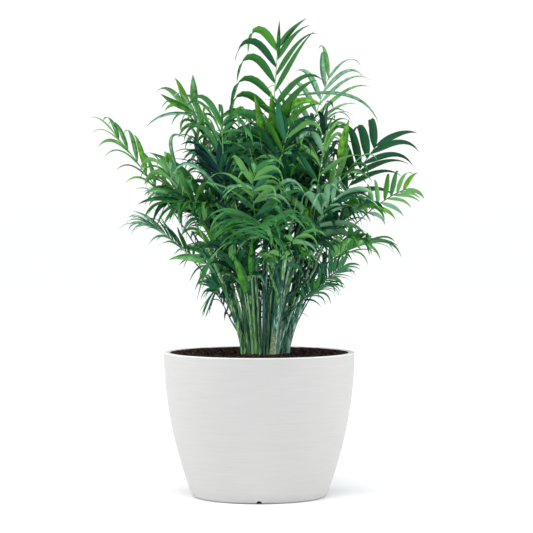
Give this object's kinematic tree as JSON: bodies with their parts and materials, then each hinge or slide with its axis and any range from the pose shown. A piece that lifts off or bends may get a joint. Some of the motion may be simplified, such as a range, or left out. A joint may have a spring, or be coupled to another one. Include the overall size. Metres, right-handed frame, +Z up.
{
  "type": "parlour palm in a white pot",
  "caption": "Potted parlour palm: a clump of slender green canes with arching, feather-like fronds, in a plain white pot that narrows to its foot.",
  "frame": {"origin": "middle of the pot's flat underside", "axes": "+Z up through the pot and the clump, -Y towards the side that the picture shows, +X to its right"},
  "size_m": [0.5284, 0.4527, 0.755],
  "materials": {
    "pot_white": "matt white with a faint brushed grain",
    "soil": "dark, moist, crumbly",
    "cane": "smooth green skin with pale rings",
    "leaf": "satin green leaf, ribbed lengthwise"
  },
  "bodies": {
    "root": {"pot": "pot_white", "soil": "soil", "cane_01": "cane", "cane_02": "cane", "cane_03": "cane", "cane_04": "cane", "cane_05": "cane", "cane_06": "cane", "cane_07": "cane", "cane_08": "cane", "cane_09": "cane", "cane_10": "cane", "cane_11": "cane", "cane_12": "cane", "cane_13": "cane", "cane_14": "cane", "frond_top": "leaf", "frond_back_right": "leaf", "frond_upper_left": "leaf", "frond_far_left": "leaf", "frond_middle_left": "leaf", "frond_side_left": "leaf", "frond_low_left": "leaf", "frond_young_left": "leaf", "frond_bottom_left": "leaf", "frond_far_right": "leaf", "frond_small_right": "leaf", "frond_side_right": "leaf", "frond_middle_right": "leaf", "frond_low_right": "leaf", "frond_bottom_right": "leaf", "frond_front": "leaf", "frond_crown_1": "leaf", "frond_crown_2": "leaf", "frond_crown_3": "leaf", "frond_crown_4": "leaf", "frond_crown_5": "leaf", "frond_upper_1": "leaf", "frond_upper_2": "leaf", "frond_upper_3": "leaf", "frond_upper_4": "leaf", "frond_upper_5": "leaf", "frond_upper_6": "leaf", "frond_upper_7": "leaf", "frond_upper_8": "leaf", "frond_upper_9": "leaf", "frond_middle_1": "leaf", "frond_middle_2": "leaf", "frond_middle_3": "leaf", "frond_middle_4": "leaf", "frond_middle_5": "leaf", "frond_middle_6": "leaf", "frond_middle_7": "leaf", "frond_middle_8": "leaf", "frond_lower_1": "leaf", "frond_lower_2": "leaf", "frond_lower_3": "leaf", "frond_lower_4": "leaf", "frond_lower_5": "leaf", "frond_lower_6": "leaf"}
  },
  "joints": []
}
